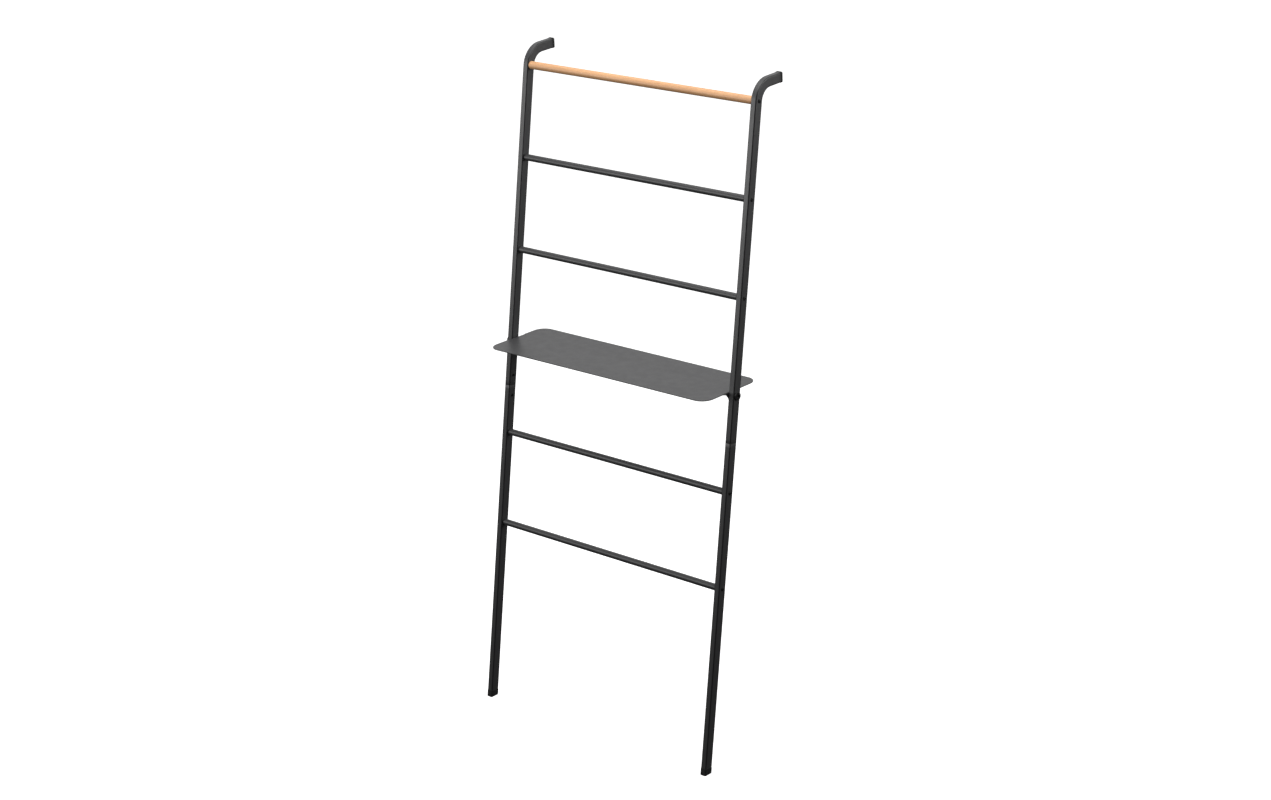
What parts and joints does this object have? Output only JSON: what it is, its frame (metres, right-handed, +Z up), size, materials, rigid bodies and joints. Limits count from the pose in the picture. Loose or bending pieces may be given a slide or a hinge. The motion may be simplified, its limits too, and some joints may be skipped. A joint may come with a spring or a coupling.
{
  "type": "leaning ladder rack",
  "caption": "Narrow steel ladder rack that leans on a wall, with a wooden top rail, round steel rungs and a flat shelf at mid height.",
  "frame": {"origin": "on the floor, midway between the uprights, below the middle of the rack's depth from the feet to the wall", "axes": "+Z up, +Y towards the wall that the rack leans on, +X to the right as seen from the front"},
  "size_m": [0.711, 0.3352, 1.5969],
  "materials": {
    "powder_coat": "matte black powder coat with a fine texture",
    "bolt_black": "satin black oxide bolts and screws",
    "rubber": "matte black rubber end caps",
    "oak": "pale oiled hardwood with fine grain along its length",
    "zinc": "zinc-plated steel, hidden or half hidden"
  },
  "bodies": {
    "root": {"left_upright_lower": "powder_coat", "left_upright_upper": "powder_coat", "left_joint_spigot": "zinc", "left_joint_screw_lower": "bolt_black", "left_joint_screw_upper": "bolt_black", "left_foot": "rubber", "left_wall_cap": "rubber", "right_upright_lower": "powder_coat", "right_upright_upper": "powder_coat", "right_joint_spigot": "zinc", "right_joint_screw_lower": "bolt_black", "right_joint_screw_upper": "bolt_black", "right_foot": "rubber", "right_wall_cap": "rubber", "wood_rail": "oak", "wood_rail_insert_left": "zinc", "wood_rail_bolt_left": "bolt_black", "wood_rail_insert_right": "zinc", "wood_rail_bolt_right": "bolt_black", "rung_1": "powder_coat", "rung_1_plug_left": "zinc", "rung_1_bolt_left": "bolt_black", "rung_1_plug_right": "zinc", "rung_1_bolt_right": "bolt_black", "rung_2": "powder_coat", "rung_2_plug_left": "zinc", "rung_2_bolt_left": "bolt_black", "rung_2_plug_right": "zinc", "rung_2_bolt_right": "bolt_black", "rung_3": "powder_coat", "rung_3_plug_left": "zinc", "rung_3_bolt_left": "bolt_black", "rung_3_plug_right": "zinc", "rung_3_bolt_right": "bolt_black", "rung_4": "powder_coat", "rung_4_plug_left": "zinc", "rung_4_bolt_left": "bolt_black", "rung_4_plug_right": "zinc", "rung_4_bolt_right": "bolt_black", "shelf": "powder_coat", "shelf_bolt_left": "bolt_black", "shelf_nut_left": "zinc", "shelf_bolt_right": "bolt_black", "shelf_nut_right": "zinc"}
  },
  "joints": []
}
